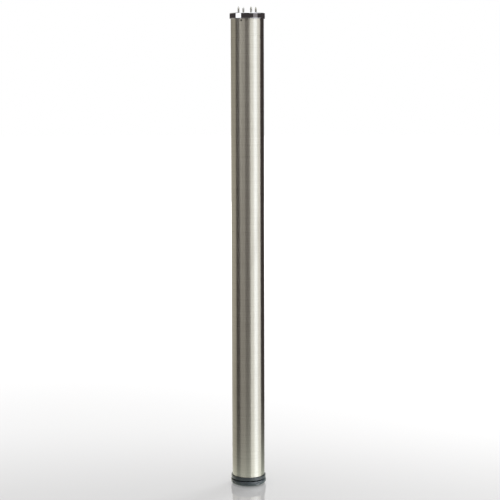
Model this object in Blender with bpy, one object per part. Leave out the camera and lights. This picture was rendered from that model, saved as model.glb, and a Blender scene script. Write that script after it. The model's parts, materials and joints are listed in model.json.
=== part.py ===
"""Adjustable table leg with a screw-in leveling foot.

A brushed steel tube stands on a black plastic foot whose threaded stem turns in a nut held by
the tube's end plug. At the top the tube is pushed over the spigot of a die-cast mounting plate,
which four wood screws hold to the table top, and a set screw in the spigot clamps it.

Standalone Blender 4.5 script. Metres, +Z up. The origin is on the floor, under the leg's axis,
and the front of the leg faces -Y.
"""

import math

import bmesh
import bpy
from mathutils import Matrix, Vector

MM = 0.001

# Overall sizes
HEIGHT = 870.0 * MM  # floor to the plate's top face, with the foot at rest
TUBE_RADIUS = 30.0 * MM
TUBE_WALL = 1.0 * MM
FIT_GAP = 0.3 * MM  # kept between pieces that touch

# Mounting plate
RIM_PROUD = 2.0 * MM  # rim beyond the tube's outside
RIM_HEIGHT = 10.0 * MM
RIM_FILLET = 0.9 * MM
WEB_THICKNESS = 4.0 * MM
SPIGOT_LENGTH = 22.0 * MM
SPIGOT_WALL = 3.5 * MM
SPIGOT_LEAD = 0.8 * MM  # chamfer that guides the tube on
CENTRE_HOLE_RADIUS = 4.0 * MM
CENTRE_BOSS_WALL = 3.5 * MM
CENTRE_BOSS_DROP = 5.0 * MM  # below the web
PLATE_RIB_THICKNESS = 2.5 * MM
PLATE_RIB_DROP = 6.0 * MM
PLATE_RIB_COUNT = 4

# Wood screws through the plate
SCREW_COUNT = 4
SCREW_INSET = 8.2 * MM  # from the spigot's inside wall to a screw's axis
SCREW_RADIUS = 2.0 * MM
SCREW_LENGTH = 16.0 * MM
SCREW_TIP_LENGTH = 4.0 * MM
SCREW_TIP_RADIUS = 0.15 * MM
SCREW_HEAD_RADIUS = 4.0 * MM
SCREW_HEAD_LAND = 0.3 * MM
CROSS_SPAN = 4.4 * MM
CROSS_WIDTH = 1.1 * MM
CROSS_DEPTH = 2.2 * MM
CROSS_TAPER = 0.55  # size of the recess's floor against its mouth

# Set screw that clamps the tube on the spigot, and the hole for its key
KEY_ANGLE = math.radians(-21.0)  # from the front, positive towards +X
KEY_DROP = 3.0 * MM  # the hole's centre below the tube's top edge
KEY_HOLE_RADIUS = 1.5 * MM
SET_SCREW_RADIUS = 2.5 * MM
SET_SCREW_LENGTH = 8.0 * MM
SET_SCREW_CHAMFER = 0.5 * MM
SET_SCREW_RELEASE = 1.5 * MM  # how far it backs off to free the tube
SOCKET_ACROSS = 2.5 * MM
SOCKET_DEPTH = 3.0 * MM
SET_BOSS_WALL = 2.4 * MM  # round the tapped hole

# End plug
LIP_PROUD = 2.0 * MM  # beyond the tube's outside
LIP_HEIGHT = 6.0 * MM
LIP_FILLET = 0.8 * MM
PLUG_FLOOR = 3.0 * MM
SLEEVE_LENGTH = 25.0 * MM
SLEEVE_WALL = 2.0 * MM
CRUSH_RIB_COUNT = 12
CRUSH_RIB_HEIGHT = 1.0 * MM
CRUSH_RIB_WIDTH = 1.6 * MM
CRUSH_RIB_LEAD = 3.0 * MM
PLUG_WEB_COUNT = 8
PLUG_WEB_THICKNESS = 1.8 * MM
PLUG_WEB_DROP = 2.0 * MM  # the webs' top below the hub's top
HUB_WALL = 2.0 * MM
HUB_CLEARANCE = 1.0 * MM  # round the disc's hub, when the foot is screwed home
RECESS_DEPTH = 3.2 * MM  # takes the disc's hub
HUB_ROOF = 3.0 * MM  # above the nut

# Thread of the stem and its nut
THREAD_RADIUS = 5.0 * MM
THREAD_PITCH = 1.5 * MM
THREAD_CLEARANCE = 0.3 * MM
THREAD_PHASE = 0.4  # of a pitch, from the stem's head down to where a turn begins
THREAD_FIRST_ANGLE = math.radians(5.0)  # from +X, where a turn begins
NUT_ACROSS = 17.0 * MM
NUT_HEIGHT = 8.0 * MM
NUT_SINK = 0.2 * MM  # the nut's face above the recess's roof edge
FOOT_TRAVEL = 20.0 * MM  # how far the foot screws out while the stem still fills the nut
HEAD_ACROSS = 17.0 * MM
HEAD_HEIGHT = 6.4 * MM
STEM_HOLE_CLEARANCE = 0.3 * MM

# Foot disc and pad
REST_GAP = 1.8 * MM  # between the disc and the plug's lip, at rest
DISC_PROUD = 0.6 * MM  # beyond the plug's lip
DISC_HEIGHT = 9.2 * MM
DISC_TOP_FILLET = 1.2 * MM
DISC_BOTTOM_FILLET = 5.6 * MM
DISC_LAND = 1.4 * MM  # flat ring between that fillet and the pad's recess
DISC_ROOF = 3.0 * MM  # above the cored underside
DISC_HUB_RISE = 2.5 * MM
DISC_RIB_COUNT = 8
DISC_RIB_THICKNESS = 2.0 * MM
DISC_SEAT = 1.0 * MM  # ledge that the pad's edge rests on
SCOOP_COUNT = 8  # finger scoops round the disc's side
SCOOP_DEPTH = 1.1 * MM
SCOOP_HALF_HEIGHT = 3.0 * MM  # of the egg-shaped tool that would sink a scoop
SCOOP_HALF_LENGTH = 8.8 * MM
SCOOP_LEVEL = 5.4 * MM  # of the scoops' middles above the disc's underside
SCOOP_ANGLE = math.radians(-11.25)  # of the first one, from the front
PAD_PROUD = 1.0 * MM  # below the disc
PAD_THICKNESS = 1.7 * MM
PIVOT_RADIUS = 3.0 * MM
PIVOT_HEIGHT = 2.5 * MM
GROOVE_COUNT = 3
GROOVE_PITCH = 5.0 * MM
GROOVE_WIDTH = 1.2 * MM
GROOVE_DEPTH = 0.5 * MM
GROOVE_EDGE = 4.8 * MM  # from the outermost groove to the pad's edge

# How finely round shapes are faceted
ROUND_STEPS = 48
SMALL_STEPS = 24
HEX_STEPS = 24
THREAD_STEPS = 12
SCOOP_STEPS = 12
ARC_STEPS = 3
OVERRUN = 1.0 * MM  # cutters and joined shapes run on by this much

# Radii worked out from the sizes above
bore_radius = TUBE_RADIUS - TUBE_WALL
rim_radius = TUBE_RADIUS + RIM_PROUD
spigot_radius = bore_radius - FIT_GAP
spigot_inside = spigot_radius - SPIGOT_WALL
screw_circle = spigot_inside - SCREW_INSET
lip_radius = TUBE_RADIUS + LIP_PROUD
crush_radius = bore_radius - FIT_GAP
sleeve_radius = crush_radius - CRUSH_RIB_HEIGHT
sleeve_inside = sleeve_radius - SLEEVE_WALL
head_corner = HEAD_ACROSS / math.sqrt(3)
nut_corner = NUT_ACROSS / math.sqrt(3)
disc_hub_radius = head_corner + FIT_GAP + HUB_WALL
recess_radius = max(disc_hub_radius, nut_corner + FIT_GAP) + HUB_CLEARANCE
plug_hub_radius = recess_radius + HUB_WALL
disc_radius = lip_radius + DISC_PROUD
pad_recess_radius = disc_radius - DISC_BOTTOM_FILLET - DISC_LAND
pad_radius = pad_recess_radius - FIT_GAP
disc_core_radius = pad_recess_radius - DISC_SEAT
stem_hole_radius = THREAD_RADIUS + STEM_HOLE_CLEARANCE

# Levels above the floor
disc_bottom = PAD_PROUD
disc_top = disc_bottom + DISC_HEIGHT
lip_bottom = disc_top + REST_GAP
lip_top = lip_bottom + LIP_HEIGHT
tube_bottom = lip_top + FIT_GAP
head_bottom = PAD_THICKNESS + FIT_GAP
head_top = head_bottom + HEAD_HEIGHT
nut_bottom = lip_bottom + RECESS_DEPTH + NUT_SINK
stem_top = nut_bottom + NUT_HEIGHT + FOOT_TRAVEL
rim_bottom = HEIGHT - RIM_HEIGHT
tube_top = rim_bottom - FIT_GAP
web_bottom = HEIGHT - WEB_THICKNESS
key_level = tube_top - KEY_DROP

FRONT = Vector((0.0, -1.0, 0.0))


def clear_scene():
    for obj in list(bpy.data.objects):
        bpy.data.objects.remove(obj, do_unlink=True)


def make_material(name, colour, roughness, metallic):
    material = bpy.data.materials.new(name)
    material.use_nodes = True
    shader = material.node_tree.nodes["Principled BSDF"]
    shader.inputs["Base Color"].default_value = (*colour, 1.0)
    shader.inputs["Roughness"].default_value = roughness
    shader.inputs["Metallic"].default_value = metallic
    return material


def radial(angle):
    """Unit vector away from the leg's axis, at an angle from the front."""
    return Matrix.Rotation(angle, 3, "Z") @ FRONT


def corner_arc(before, corner, after, radius):
    """Points of the arc that rounds one corner of an outline."""
    corner = Vector(corner)
    to_before = (Vector(before) - corner).normalized()
    to_after = (Vector(after) - corner).normalized()
    half = to_before.angle(to_after) / 2
    centre = corner + (to_before + to_after).normalized() * (radius / math.sin(half))
    start = corner + to_before * (radius / math.tan(half)) - centre
    end = corner + to_after * (radius / math.tan(half)) - centre
    sweep = start.angle_signed(end)
    points = []
    for step in range(ARC_STEPS + 1):
        turn = Matrix.Rotation(-sweep * step / ARC_STEPS, 2)
        points.append(tuple(centre + turn @ start))
    return points


def outline(*corners):
    """Closed (radius, height) outline. A corner with a third value is rounded to that radius."""
    points = []
    for index, corner in enumerate(corners):
        if len(corner) == 2:
            points.append(corner)
            continue
        before = corners[index - 1][:2]
        after = corners[(index + 1) % len(corners)][:2]
        points += corner_arc(before, corner[:2], after, corner[2])
    return points


def tidy(bm):
    bmesh.ops.remove_doubles(bm, verts=bm.verts, dist=0.001 * MM)
    bmesh.ops.recalc_face_normals(bm, faces=bm.faces)


def turn_outline(bm, points, steps):
    """Sweeps a closed (radius, height) outline right round Z."""
    verts = [bm.verts.new((radius, 0.0, height)) for radius, height in points]
    edges = [bm.edges.new((verts[i - 1], verts[i])) for i in range(len(verts))]
    bmesh.ops.spin(
        bm,
        geom=verts + edges,
        cent=(0, 0, 0),
        axis=(0, 0, 1),
        angle=math.tau,
        steps=steps,
        use_merge=True,
    )


def add_prism(bm, base, height, place=Matrix.Identity(4), end_scale=1.0):
    """Prism on a list of (x, y) points, from Z 0 to its height, moved by a matrix."""
    low = [bm.verts.new(place @ Vector((x, y, 0.0))) for x, y in base]
    high = [
        bm.verts.new(place @ Vector((x * end_scale, y * end_scale, height)))
        for x, y in base
    ]
    bm.faces.new(list(reversed(low)))
    bm.faces.new(high)
    for i in range(len(base)):
        bm.faces.new((low[i - 1], low[i], high[i], high[i - 1]))


def circle_points(radius, steps, start=0.0):
    angles = (start + math.tau * i / steps for i in range(steps))
    return [(radius * math.cos(a), radius * math.sin(a)) for a in angles]


def hexagon(across):
    return circle_points(across / math.sqrt(3), 6)


def box_points(x0, x1, width):
    return [(x0, -width / 2), (x1, -width / 2), (x1, width / 2), (x0, width / 2)]


def cross_points(span, width):
    """Outline of a plus sign."""
    far, near = span / 2, width / 2
    arm = [(far, -near), (far, near), (near, near)]
    points = []
    for quarter in range(4):
        turn = Matrix.Rotation(math.tau * quarter / 4, 2)
        points += [tuple(turn @ Vector(p)) for p in arm]
    return points


def make_object(name, bm, material=None, parent=None, location=(0, 0, 0)):
    """Turns a bmesh into a smooth-shaded object."""
    tidy(bm)
    mesh = bpy.data.meshes.new(name)
    bm.to_mesh(mesh)
    bm.free()
    mesh.shade_smooth()
    mesh.set_sharp_from_angle(angle=math.radians(35))
    obj = bpy.data.objects.new(name, mesh)
    bpy.context.scene.collection.objects.link(obj)
    obj.location = location
    obj.parent = parent
    if material:
        mesh.materials.append(material)
    return obj


def lathe(name, points, steps=ROUND_STEPS, **placing):
    bm = bmesh.new()
    turn_outline(bm, points, steps)
    return make_object(name, bm, **placing)


def helper(name, bm, target):
    """Cutter or joined shape, in the frame of the piece that it works on."""
    obj = make_object(name, bm, parent=target)
    obj.hide_render = True
    obj.display_type = "WIRE"
    return obj


def combine(target, other, operation):
    modifier = target.modifiers.new(other.name, "BOOLEAN")
    modifier.operation = operation
    modifier.solver = "EXACT"
    modifier.object = other


def cut(target, name, bm):
    combine(target, helper(name, bm, target), "DIFFERENCE")


def join(target, name, bm):
    combine(target, helper(name, bm, target), "UNION")


def spokes(inner, outer, thickness, low, high, count, start=0.0):
    """Radial ribs between two radii, as separate boxes, the first one at an angle from the front."""
    bm = bmesh.new()
    for i in range(count):
        facing = Matrix.Rotation(start + math.tau * i / count - math.pi / 2, 4, "Z")
        place = facing @ Matrix.Translation((0, 0, low))
        add_prism(bm, box_points(inner, outer, thickness), high - low, place)
    return bm


def thread_solid(extra_radius, start, length):
    """Right-hand 60 degree thread from one height, closed at both ends and longer than needed.

    Its crest and root stand out by extra_radius, which is how the nut's thread gets its clearance.
    """
    bm = bmesh.new()
    crest_flat = THREAD_PITCH / 8
    root_flat = THREAD_PITCH / 4
    flank = (THREAD_PITCH - crest_flat - root_flat) / 2
    crest = THREAD_RADIUS + extra_radius
    root = crest - flank / math.tan(math.radians(30))
    corners = (
        (root, 0.0),
        (root, root_flat),
        (crest, root_flat + flank),
        (crest, root_flat + flank + crest_flat),
    )
    turns = math.ceil(length / THREAD_PITCH) + 2
    sections = []
    for i in range(turns * THREAD_STEPS + 1):
        share = i / THREAD_STEPS
        turn = Matrix.Rotation(math.tau * share + THREAD_FIRST_ANGLE, 4, "Z")
        rise = start + THREAD_PITCH * share
        sections.append([bm.verts.new(turn @ Vector((r, 0, rise + z))) for r, z in corners])
    for i in range(len(sections) - 1):
        here, there = sections[i], sections[i + 1]
        for k in range(3):
            bm.faces.new((here[k], there[k], there[k + 1], here[k + 1]))
        if i + 1 + THREAD_STEPS < len(sections):
            above, beyond = sections[i + THREAD_STEPS], sections[i + 1 + THREAD_STEPS]
            bm.faces.new((here[3], there[3], beyond[0], above[0]))
    first_turn = [section[0] for section in sections[: THREAD_STEPS + 1]]
    last_turn = [section[3] for section in sections[-THREAD_STEPS - 1 :]]
    close_with_fan(bm, first_turn + sections[0][:0:-1])
    close_with_fan(bm, last_turn + sections[-1][2::-1])
    return bm


def thread_start(level):
    """Height at least one turn below a level where a turn of the stem's thread begins."""
    phase = head_top - THREAD_PHASE * THREAD_PITCH
    return phase + (math.floor((level - phase) / THREAD_PITCH) - 1) * THREAD_PITCH


def close_with_fan(bm, loop):
    """Closes a thread's end with triangles to a point on its axis."""
    heights = [v.co.z for v in loop]
    middle = bm.verts.new((0, 0, (min(heights) + max(heights)) / 2))
    for i in range(len(loop)):
        bm.faces.new((loop[i - 1], loop[i], middle))


def hex_blank(across, height, chamfer_top):
    """Hexagonal prism with 30 degrees turned off its corners, underneath and, if asked, on top."""
    bm = bmesh.new()
    inner = across / 2 * 0.95
    rings = [[], [], [], []]
    for i in range(HEX_STEPS):
        angle = math.tau * i / HEX_STEPS
        outer = across / 2 / math.cos(angle % (math.tau / 6) - math.tau / 12)
        drop = (outer - inner) * math.tan(math.radians(30))
        turn = Matrix.Rotation(angle, 3, "Z")
        top_rim = (inner, height) if chamfer_top else (outer, height)
        top_side = (outer, height - drop) if chamfer_top else (outer, height / 2)
        for ring, (radius, level) in zip(rings, ((inner, 0.0), (outer, drop), top_side, top_rim)):
            ring.append(bm.verts.new(turn @ Vector((radius, 0.0, level))))
    bm.faces.new(rings[0])
    bm.faces.new(rings[3])
    for low, high in zip(rings, rings[1:]):
        for i in range(HEX_STEPS):
            bm.faces.new((low[i - 1], low[i], high[i], high[i - 1]))
    return bm


def make_tube(parent, material):
    points = outline(
        (bore_radius, tube_bottom),
        (TUBE_RADIUS, tube_bottom),
        (TUBE_RADIUS, tube_top),
        (bore_radius, tube_top),
    )
    tube = lathe("leg_tube", points, material=material, parent=parent)
    hole = bmesh.new()
    place = (
        Matrix.Translation(Vector((0, 0, key_level)))
        @ radial(KEY_ANGLE).to_track_quat("Z", "Y").to_matrix().to_4x4()
    )
    add_prism(hole, circle_points(KEY_HOLE_RADIUS, SMALL_STEPS), rim_radius, place)
    cut(tube, "key_hole_cutter", hole)


def make_plate(parent, material):
    """Die-cast plate. Its frame's Z 0 is the rim's underside, on which the tube bears."""
    web = RIM_HEIGHT - WEB_THICKNESS
    boss_radius = CENTRE_HOLE_RADIUS + CENTRE_BOSS_WALL
    points = outline(
        (CENTRE_HOLE_RADIUS, RIM_HEIGHT),
        (CENTRE_HOLE_RADIUS, web - CENTRE_BOSS_DROP),
        (boss_radius, web - CENTRE_BOSS_DROP),
        (boss_radius, web),
        (spigot_inside, web),
        (spigot_inside, -SPIGOT_LENGTH),
        (spigot_radius - SPIGOT_LEAD, -SPIGOT_LENGTH),
        (spigot_radius, SPIGOT_LEAD - SPIGOT_LENGTH),
        (spigot_radius, 0.0),
        (rim_radius, 0.0, RIM_FILLET),
        (rim_radius, RIM_HEIGHT, RIM_FILLET),
    )
    placing = {"material": material, "parent": parent, "location": (0, 0, rim_bottom)}
    plate = lathe("mounting_plate", points, **placing)
    overlap = SPIGOT_WALL / 2
    ribs = spokes(
        boss_radius - CENTRE_BOSS_WALL / 2,
        spigot_inside + overlap,
        PLATE_RIB_THICKNESS,
        web - PLATE_RIB_DROP,
        web + WEB_THICKNESS / 2,
        PLATE_RIB_COUNT,
        KEY_ANGLE,
    )
    join(plate, "plate_ribs", ribs)
    level = key_level - rim_bottom
    half_boss = SET_SCREW_RADIUS + SET_BOSS_WALL
    screw_inner = spigot_radius - FIT_GAP / 3 - SET_SCREW_LENGTH - SET_SCREW_RELEASE
    boss = spokes(
        screw_inner,
        spigot_inside + overlap,
        2 * half_boss,
        level - half_boss,
        web + WEB_THICKNESS / 2,
        1,
        KEY_ANGLE,
    )
    join(plate, "set_screw_boss", boss)
    tapped = bmesh.new()
    place = (
        Matrix.Translation((0, 0, level))
        @ radial(KEY_ANGLE).to_track_quat("Z", "Y").to_matrix().to_4x4()
        @ Matrix.Translation((0, 0, screw_inner - OVERRUN))
    )
    hole_radius = SET_SCREW_RADIUS + FIT_GAP / 3
    reach = spigot_radius - screw_inner + 2 * OVERRUN
    add_prism(tapped, circle_points(hole_radius, SMALL_STEPS), reach, place)
    cut(plate, "tapped_hole_cutter", tapped)
    for spot in screw_spots():
        holes = bmesh.new()
        turn_outline(holes, countersink_points(web), SMALL_STEPS)
        bmesh.ops.translate(holes, verts=holes.verts, vec=spot)
        cut(plate, "screw_hole_cutter", holes)
    return plate


def screw_spots():
    """Where the wood screws' axes cross the leg's own level, each midway between two ribs."""
    for i in range(SCREW_COUNT):
        angle = KEY_ANGLE + math.tau * (i + 0.5) / SCREW_COUNT
        yield radial(angle) * screw_circle


def countersink_points(web):
    """Outline of a screw hole, its head's cone and the way in for a screwdriver from below."""
    shank = SCREW_RADIUS + FIT_GAP
    mouth = SCREW_HEAD_RADIUS + FIT_GAP * math.sqrt(2)
    return [
        (0.0, web - OVERRUN),
        (mouth, web - OVERRUN),
        (mouth, web + SCREW_HEAD_LAND),
        (shank, web + SCREW_HEAD_LAND + mouth - shank),
        (shank, RIM_HEIGHT + OVERRUN),
        (0.0, RIM_HEIGHT + OVERRUN),
    ]


def make_wood_screws(parent, material):
    """Countersunk screws, pointing up, their heads flush with the web's underside."""
    neck = SCREW_HEAD_LAND + SCREW_HEAD_RADIUS - SCREW_RADIUS
    points = [
        (0.0, 0.0),
        (SCREW_HEAD_RADIUS, 0.0),
        (SCREW_HEAD_RADIUS, SCREW_HEAD_LAND),
        (SCREW_RADIUS, neck),
        (SCREW_RADIUS, SCREW_LENGTH - SCREW_TIP_LENGTH),
        (SCREW_TIP_RADIUS, SCREW_LENGTH),
        (0.0, SCREW_LENGTH),
    ]
    for number, spot in enumerate(screw_spots(), start=1):
        screw = lathe(
            f"plate_screw_{number}",
            points,
            SMALL_STEPS,
            material=material,
            parent=parent,
            location=spot + Vector((0, 0, web_bottom)),
        )
        recess = bmesh.new()
        mouth = 1 + OVERRUN / CROSS_DEPTH * (1 - CROSS_TAPER)
        place = Matrix.Translation((0, 0, -OVERRUN))
        base = [(x * mouth, y * mouth) for x, y in cross_points(CROSS_SPAN, CROSS_WIDTH)]
        add_prism(recess, base, CROSS_DEPTH + OVERRUN, place, CROSS_TAPER / mouth)
        cut(screw, f"cross_recess_{number}", recess)


def make_set_screw(parent, material):
    """Its Z axis points away from the leg's axis, towards the key hole in the tube."""
    outer = spigot_radius - FIT_GAP / 3
    points = [
        (0.0, 0.0),
        (SET_SCREW_RADIUS - SET_SCREW_CHAMFER, 0.0),
        (SET_SCREW_RADIUS, SET_SCREW_CHAMFER),
        (SET_SCREW_RADIUS, SET_SCREW_LENGTH - SET_SCREW_CHAMFER),
        (SET_SCREW_RADIUS - SET_SCREW_CHAMFER, SET_SCREW_LENGTH),
        (0.0, SET_SCREW_LENGTH),
    ]
    direction = radial(KEY_ANGLE)
    place = direction * (outer - SET_SCREW_LENGTH) + Vector((0, 0, key_level))
    placing = {"material": material, "parent": parent, "location": place}
    screw = lathe("set_screw", points, SMALL_STEPS, **placing)
    screw.rotation_mode = "QUATERNION"
    screw.rotation_quaternion = direction.to_track_quat("Z", "Y")
    socket = bmesh.new()
    bottom = Matrix.Translation((0, 0, SET_SCREW_LENGTH - SOCKET_DEPTH))
    add_prism(socket, hexagon(SOCKET_ACROSS), SOCKET_DEPTH + OVERRUN, bottom)
    cut(screw, "key_socket", socket)


def make_end_plug(parent, material):
    """Plug pressed into the tube's foot. Its frame's Z 0 is the lip's underside."""
    pocket_top = RECESS_DEPTH + NUT_SINK + NUT_HEIGHT + FIT_GAP
    hub_top = pocket_top + HUB_ROOF
    sleeve_top = LIP_HEIGHT + SLEEVE_LENGTH
    points = outline(
        (recess_radius, 0.0),
        (lip_radius, 0.0, LIP_FILLET),
        (lip_radius, LIP_HEIGHT, LIP_FILLET / 2),
        (sleeve_radius, LIP_HEIGHT),
        (sleeve_radius, sleeve_top),
        (sleeve_inside, sleeve_top),
        (sleeve_inside, PLUG_FLOOR),
        (plug_hub_radius, PLUG_FLOOR),
        (plug_hub_radius, hub_top),
        (stem_hole_radius, hub_top),
        (stem_hole_radius, RECESS_DEPTH),
        (recess_radius, RECESS_DEPTH),
    )
    placing = {"material": material, "parent": parent, "location": (0, 0, lip_bottom)}
    plug = lathe("end_plug", points, **placing)
    webs = spokes(
        plug_hub_radius - HUB_WALL / 2,
        sleeve_inside + SLEEVE_WALL / 2,
        PLUG_WEB_THICKNESS,
        PLUG_FLOOR / 2,
        hub_top - PLUG_WEB_DROP,
        PLUG_WEB_COUNT,
    )
    join(plug, "plug_webs", webs)
    ribs = bmesh.new()
    root = sleeve_radius - SLEEVE_WALL / 2
    for i in range(CRUSH_RIB_COUNT):
        add_crush_rib(ribs, root, sleeve_top, math.tau * (i + 0.5) / CRUSH_RIB_COUNT)
    join(plug, "crush_ribs", ribs)
    pocket = bmesh.new()
    bottom = Matrix.Translation((0, 0, RECESS_DEPTH - OVERRUN))
    add_prism(pocket, hexagon(NUT_ACROSS + 2 * FIT_GAP), pocket_top - RECESS_DEPTH + OVERRUN, bottom)
    cut(plug, "nut_pocket", pocket)


def add_crush_rib(bm, root, sleeve_top, angle):
    """Upright rib that grips the tube, with a sloping top that leads it in."""
    side = [
        (root, LIP_HEIGHT / 2),
        (crush_radius, LIP_HEIGHT / 2),
        (crush_radius, sleeve_top - CRUSH_RIB_LEAD),
        (root, sleeve_top - CRUSH_RIB_LEAD / 2),
    ]
    upright = Matrix.Rotation(math.pi / 2, 4, "X")
    aside = Matrix.Translation((0, CRUSH_RIB_WIDTH / 2, 0))
    place = Matrix.Rotation(angle - math.pi / 2, 4, "Z") @ aside @ upright
    add_prism(bm, side, CRUSH_RIB_WIDTH, place)


def make_nut(parent, material):
    blank = hex_blank(NUT_ACROSS, NUT_HEIGHT, True)
    placing = {"material": material, "parent": parent, "location": (0, 0, nut_bottom)}
    nut = make_object("plug_nut", blank, **placing)
    start = thread_start(nut_bottom) - nut_bottom
    cut(nut, "nut_thread", thread_solid(THREAD_CLEARANCE, start, NUT_HEIGHT + THREAD_PITCH))
    mouth = THREAD_RADIUS + THREAD_CLEARANCE + FIT_GAP / 2
    for name, face, inward in (("low_mouth", 0.0, 1), ("high_mouth", NUT_HEIGHT, -1)):
        cone = bmesh.new()
        outside = face - inward * OVERRUN
        turn_outline(
            cone,
            [(0.0, outside), (mouth + OVERRUN, outside), (0.0, face + inward * mouth)],
            SMALL_STEPS,
        )
        cut(nut, name, cone)


def make_stem(parent, material):
    """Hexagon-headed stem, threaded to its head. Its frame's Z 0 is the head's underside."""
    blank = hex_blank(HEAD_ACROSS, HEAD_HEIGHT, False)
    placing = {"material": material, "parent": parent, "location": (0, 0, head_bottom)}
    stem = make_object("foot_stem", blank, **placing)
    socket = bmesh.new()
    bottom = Matrix.Translation((0, 0, -OVERRUN))
    add_prism(socket, circle_points(PIVOT_RADIUS + FIT_GAP, SMALL_STEPS), PIVOT_HEIGHT + OVERRUN, bottom)
    cut(stem, "pivot_socket", socket)
    top = stem_top - head_bottom
    start = thread_start(head_top) - head_bottom
    thread = helper("stem_thread", thread_solid(0.0, start, top - start), stem)
    bevel_start = THREAD_RADIUS - THREAD_PITCH
    ended = bmesh.new()
    turn_outline(
        ended,
        [
            (0.0, HEAD_HEIGHT / 2),
            (THREAD_RADIUS + OVERRUN, HEAD_HEIGHT / 2),
            (THREAD_RADIUS + OVERRUN, top - (THREAD_RADIUS + OVERRUN - bevel_start)),
            (bevel_start, top),
            (0.0, top),
        ],
        SMALL_STEPS,
    )
    combine(thread, helper("stem_end", ended, stem), "INTERSECT")
    combine(stem, thread, "UNION")


def make_disc(parent, material):
    """Foot disc, cored underneath. Its frame's Z 0 is its own underside."""
    seat = head_bottom - disc_bottom
    roof = DISC_HEIGHT - DISC_ROOF
    hub_top = DISC_HEIGHT + DISC_HUB_RISE
    points = outline(
        (pad_recess_radius, 0.0),
        (disc_radius, 0.0, DISC_BOTTOM_FILLET),
        (disc_radius, DISC_HEIGHT, DISC_TOP_FILLET),
        (disc_hub_radius, DISC_HEIGHT),
        (disc_hub_radius, hub_top, DISC_TOP_FILLET / 2),
        (stem_hole_radius, hub_top),
        (stem_hole_radius, seat),
        (disc_hub_radius, seat),
        (disc_hub_radius, roof),
        (disc_core_radius, roof),
        (disc_core_radius, seat),
        (pad_recess_radius, seat),
    )
    placing = {"material": material, "parent": parent, "location": (0, 0, disc_bottom)}
    disc = lathe("foot_disc", points, **placing)
    ribs = spokes(
        disc_hub_radius - HUB_WALL / 2,
        disc_core_radius + DISC_SEAT,
        DISC_RIB_THICKNESS,
        seat,
        roof + DISC_ROOF / 2,
        DISC_RIB_COUNT,
    )
    join(disc, "disc_ribs", ribs)
    pocket = bmesh.new()
    bottom = Matrix.Translation((0, 0, seat - OVERRUN))
    pocket_height = HEAD_HEIGHT + FIT_GAP + OVERRUN
    add_prism(pocket, hexagon(HEAD_ACROSS + 2 * FIT_GAP), pocket_height, bottom)
    cut(disc, "head_pocket", pocket)
    scoops = bmesh.new()
    reach = disc_radius + SCOOP_HALF_HEIGHT - SCOOP_DEPTH
    egg = Matrix.Diagonal((SCOOP_HALF_HEIGHT, SCOOP_HALF_HEIGHT, SCOOP_HALF_LENGTH, 1.0))
    side_on = Matrix.Rotation(math.pi / 2, 4, "Y")
    spot = Matrix.Translation((0, -reach, SCOOP_LEVEL))
    for i in range(SCOOP_COUNT):
        facing = Matrix.Rotation(SCOOP_ANGLE + math.tau * i / SCOOP_COUNT, 4, "Z")
        place = facing @ spot @ side_on @ egg
        bmesh.ops.create_uvsphere(
            scoops, u_segments=SMALL_STEPS, v_segments=SCOOP_STEPS, radius=1.0, matrix=place
        )
    cut(disc, "finger_scoops", scoops)


def make_pad(parent, material):
    """Non-slip pad, with a stud on which the foot turns and grip grooves underneath."""
    points = [(0.0, 0.0)]
    for i in reversed(range(GROOVE_COUNT)):
        outer = pad_radius - GROOVE_EDGE - GROOVE_PITCH * i
        inner = outer - GROOVE_WIDTH
        points += [(inner, 0.0), (inner, GROOVE_DEPTH), (outer, GROOVE_DEPTH), (outer, 0.0)]
    points += [
        (pad_radius - GROOVE_DEPTH, 0.0),
        (pad_radius, GROOVE_DEPTH),
        (pad_radius, PAD_THICKNESS),
        (PIVOT_RADIUS, PAD_THICKNESS),
        (PIVOT_RADIUS, PAD_THICKNESS + PIVOT_HEIGHT),
        (0.0, PAD_THICKNESS + PIVOT_HEIGHT),
    ]
    lathe("foot_pad", points, material=material, parent=parent)


def add_empty(name, parent=None):
    empty = bpy.data.objects.new(name, None)
    bpy.context.scene.collection.objects.link(empty)
    empty.parent = parent
    return empty


def main():
    clear_scene()
    brushed = make_material("brushed_steel", (0.60, 0.58, 0.53), 0.30, 1.0)
    chrome = make_material("chrome", (0.78, 0.78, 0.80), 0.06, 1.0)
    zinc = make_material("zinc_plated_steel", (0.62, 0.62, 0.60), 0.35, 1.0)
    black_steel = make_material("black_oxide_steel", (0.05, 0.05, 0.055), 0.40, 1.0)
    plastic = make_material("black_plastic", (0.020, 0.024, 0.026), 0.38, 0.0)
    rubber = make_material("pad_rubber", (0.055, 0.055, 0.055), 0.85, 0.0)

    leg = add_empty("leg_axis")
    plate_axis = add_empty("plate_axis", leg)
    foot_axis = add_empty("foot_axis", leg)
    make_tube(leg, brushed)
    make_end_plug(leg, plastic)
    make_nut(leg, zinc)
    make_plate(plate_axis, chrome)
    make_wood_screws(plate_axis, zinc)
    make_set_screw(plate_axis, black_steel)
    make_stem(foot_axis, zinc)
    make_disc(foot_axis, plastic)
    make_pad(foot_axis, rubber)


main()
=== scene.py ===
"""Looks of the adjustable table leg: fine meshes, materials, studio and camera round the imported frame.

Every CAD node is replaced by a finer mesh of the same size and place. The wood screws also get the
thread that the CAD leaves out. Metres, +Z up; the leg's axis is Z and its front faces -Y. Angles
round the leg are measured from the front towards +X.
"""

import json
import math

import bmesh
import bpy
from mathutils import Matrix, Vector


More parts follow.
